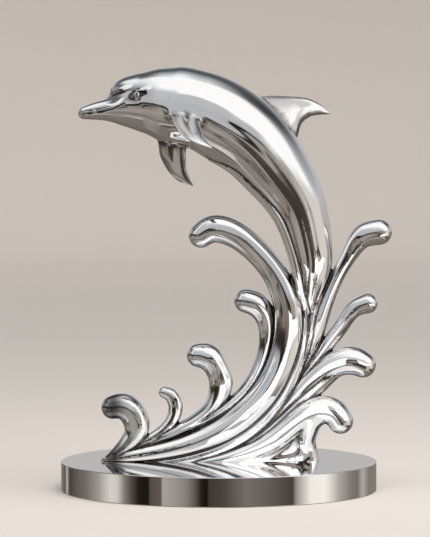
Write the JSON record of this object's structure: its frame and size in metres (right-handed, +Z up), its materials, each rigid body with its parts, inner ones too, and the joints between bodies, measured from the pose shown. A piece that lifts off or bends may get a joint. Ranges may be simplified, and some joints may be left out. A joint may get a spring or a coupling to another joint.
{
  "type": "dolphin sculpture",
  "caption": "Mirror-polished stainless steel sculpture of a dolphin leaping out of curling waves, standing on a round steel base.",
  "frame": {"origin": "centre of the round base's underside", "axes": "+Z up; the dolphin's head points to -X; the side that is seen first faces -Y"},
  "size_m": [0.7018, 0.67, 0.8931],
  "materials": {
    "polished_steel": "mirror-polished stainless steel",
    "base_steel": "polished stainless steel sheet, slightly softer on the top face"
  },
  "bodies": {
    "root": {"dolphin_and_waves": "polished_steel", "round_base": "base_steel"}
  },
  "joints": []
}
